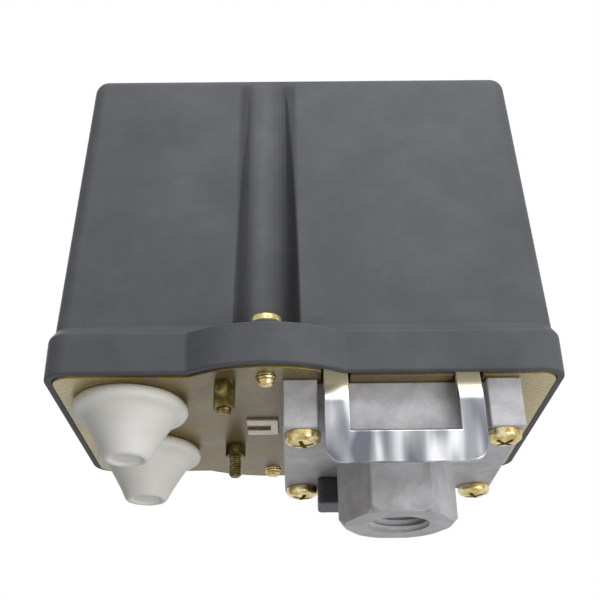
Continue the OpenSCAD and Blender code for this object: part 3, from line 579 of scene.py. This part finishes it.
def studs():
    """The ends of the block's screws under the plate, and their nuts."""
    low, high = corners("block_screws")
    radius = M3 * PAN_RADIUS
    seat = high.z - M3 * PAN_HEIGHT
    plate_low = corners("block_nuts")[1].z
    hexagon_r, bore_r = 2.42, M3 / 2
    screws, nuts = bmesh.new(), bmesh.new()
    for y, out, tall, turned in ((low.y + radius, 6.9, 5.8, 10), (high.y - radius, 7.8, 2.9, 40)):
        append(screws, screw(M3, seat - plate_low + out), at(low.x + radius, y, seat))
        nut, hole = bmesh.new(), bmesh.new()
        bmesh.ops.create_cone(nut, cap_ends=True, segments=6, radius1=hexagon_r, radius2=hexagon_r,
                              depth=tall)
        bmesh.ops.create_cone(hole, cap_ends=True, segments=32, radius1=bore_r, radius2=bore_r, depth=10)
        nut = carve(nut, hole)
        soften(nut, 0.15, 40)
        append(nuts, nut, at(low.x + radius, y, plate_low - tall / 2, spin=turned))
    place("block_screw_pair", screws, "block_screws")
    place("block_nut_pair", nuts, "block_nuts")


# ---------------------------------------------------------------- pieces inside

def springs():
    """Coils, which the main lever shortens from below as it turns on its pin; each is built at one length,
    with a mesh of its own.
    """
    sides = 12
    for node, wire, turns in (("range_spring", 2.4, 6.5), ("differential_spring", 1.1, 8),
                              ("snap_spring", 0.8, 4)):
        low, high = corners(node)
        wire_r = wire / 2
        radius = (high.x - low.x - wire) / 2
        outline = [(radius + wire_r * cos(tau * k / sides), wire_r + wire_r * sin(tau * k / sides))
                   for k in range(sides)]
        bm = bmesh.new()
        helix(bm, outline, (high.z - low.z - wire) / turns, turns, 32)
        bmesh.ops.translate(bm, vec=((low.x + high.x) / 2, (low.y + high.y) / 2, low.z), verts=bm.verts)
        coil = place(node + "_coil", bm, node, smooth=60)
        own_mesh(coil)


cover()
cover_screws()
housing_screws()
grommets()
housing()
studs()
springs()
dressed("base_plate", 0.12)
yoke()
dressed("side_port_plug", 0.5, 28, 3)
for inner in ("mechanism_frame", "spring_bridge", "bridge_screws", "main_lever", "range_nut",
              "range_screw", "differential_nut", "differential_screw", "contact_carrier",
              "contact_bridges", "contact_block", "line_contacts", "load_contacts", "terminal_screws",
              "clamp_washers", "earth_screw", "earth_clamp", "lever_pin", "pin_clips", "yoke_pin",
              "carrier_pin", "plunger", "diaphragm"):
    dressed(inner, 0.12, 30)
for node, shape in frame["nodes"].items():
    shape.data.materials.clear()
    shape.data.materials.append(MATERIALS[SLOT_OF[node]])


# ---------------------------------------------------------------- stage, light and camera

def stage_floor():
    """A pale floor under the port, seen by the camera alone, and only from above.

    It takes the object's shadow, glows a little and lights nothing.
    """
    bm = bmesh.new()
    bmesh.ops.create_grid(bm, x_segments=1, y_segments=1, size=2.0)
    bmesh.ops.translate(bm, vec=(0, 0, cad_box[0][2] - 0.3 * MM), verts=bm.verts)
    mesh = bpy.data.meshes.new("floor")
    bm.to_mesh(mesh)
    bm.free()
    floor = bpy.data.objects.new("floor", mesh)
    bpy.context.scene.collection.objects.link(floor)
    made = bpy.data.materials.new("pale_matt_floor")
    made.use_nodes = True
    tree = made.node_tree
    tree.nodes.clear()
    matt = add(tree, "BsdfDiffuse", Color="#F2F2F2")
    glow = add(tree, "Emission", Color="#FFFFFF", Strength=0.4)
    paint = add(tree, "AddShader", i0=matt.outputs[0], i1=glow.outputs[0])
    clear = add(tree, "BsdfTransparent")
    rays = add(tree, "LightPath")
    side = add(tree, "NewGeometry")
    hidden = add(tree, "Math", {"operation": "MAXIMUM"}, i0=side.outputs["Backfacing"],
                 i1=rays.outputs["Is Shadow Ray"])
    for kind in ("Is Glossy Ray", "Is Diffuse Ray"):
        hidden = add(tree, "Math", {"operation": "MAXIMUM"}, i0=hidden.outputs[0], i1=rays.outputs[kind])
    both = add(tree, "MixShader", i0=hidden.outputs[0], i1=paint.outputs[0], i2=clear.outputs[0])
    add(tree, "OutputMaterial", Surface=both.outputs[0])
    mesh.materials.append(made)


def white_world(level):
    """White to the camera and in reflections; level is what lights the object."""
    world = bpy.data.worlds.new("studio")
    bpy.context.scene.world = world
    world.use_nodes = True
    tree = world.node_tree
    tree.nodes.clear()
    rays = add(tree, "LightPath")
    seen = add(tree, "Math", {"operation": "MAXIMUM"}, i0=rays.outputs["Is Camera Ray"],
               i1=rays.outputs["Is Glossy Ray"])
    seen = add(tree, "Math", {"operation": "MAXIMUM"}, i0=seen.outputs[0],
               i1=rays.outputs["Is Transmission Ray"])
    strength = add(tree, "MapRange", i0=seen.outputs[0], i3=level, i4=1.0)
    back = add(tree, "Background", Color=(1, 1, 1, 1), Strength=strength.outputs[0])
    add(tree, "OutputWorld", Surface=back.outputs[0])


LAMPS_AIM, LAMPS_AWAY = Vector((-19, 0, 50)), 420


def lamp(name, azimuth, elevation, size, watts):
    """A square soft lamp that faces the object. Azimuth 0 is the front and 90 the right."""
    data = bpy.data.lights.new(name, "AREA")
    data.size = size * MM
    data.energy = watts
    light = bpy.data.objects.new(name, data)
    bpy.context.scene.collection.objects.link(light)
    a, e = radians(azimuth), radians(elevation)
    outwards = Vector((sin(a) * cos(e), -cos(a) * cos(e), sin(e)))
    light.location = (LAMPS_AIM + outwards * LAMPS_AWAY) * MM
    light.rotation_euler = outwards.to_track_quat("Z", "Y").to_euler()
    light.visible_camera = False


def camera(target, distance, yaw, elevation, roll, lens):
    """Looks at a point in millimetres. Angles are in degrees; a negative elevation looks up from below."""
    y, e, r = radians(yaw), radians(-elevation), radians(roll)
    forward = Vector((-sin(y) * cos(e), cos(y) * cos(e), sin(e)))
    right = Vector((cos(y), sin(y), 0))
    up = right.cross(forward)
    tilted = right * cos(r) - up * sin(r)
    upright = right * sin(r) + up * cos(r)
    data = bpy.data.cameras.new("camera")
    data.lens = lens
    data.sensor_width = 36
    data.clip_start = 0.01
    view = bpy.data.objects.new("camera", data)
    bpy.context.scene.collection.objects.link(view)
    matrix = Matrix((tilted, upright, -forward)).transposed().to_4x4()
    matrix.translation = (Vector(target) - forward * distance) * MM
    view.matrix_world = matrix
    bpy.context.scene.camera = view


stage_floor()
white_world(0.24)
lamp("key", 12, 52, 260, 1.42)
lamp("low_fill", 40, -32, 230, 0.85)
lamp("side", 44, 5, 230, 0.22)
lamp("back", 205, 35, 300, 1.0)
camera((-20.1, -4.63, 51.35), 215, -0.47, -28.26, 0.8, 55.72)

scene = bpy.context.scene
scene.view_settings.view_transform = "Standard"
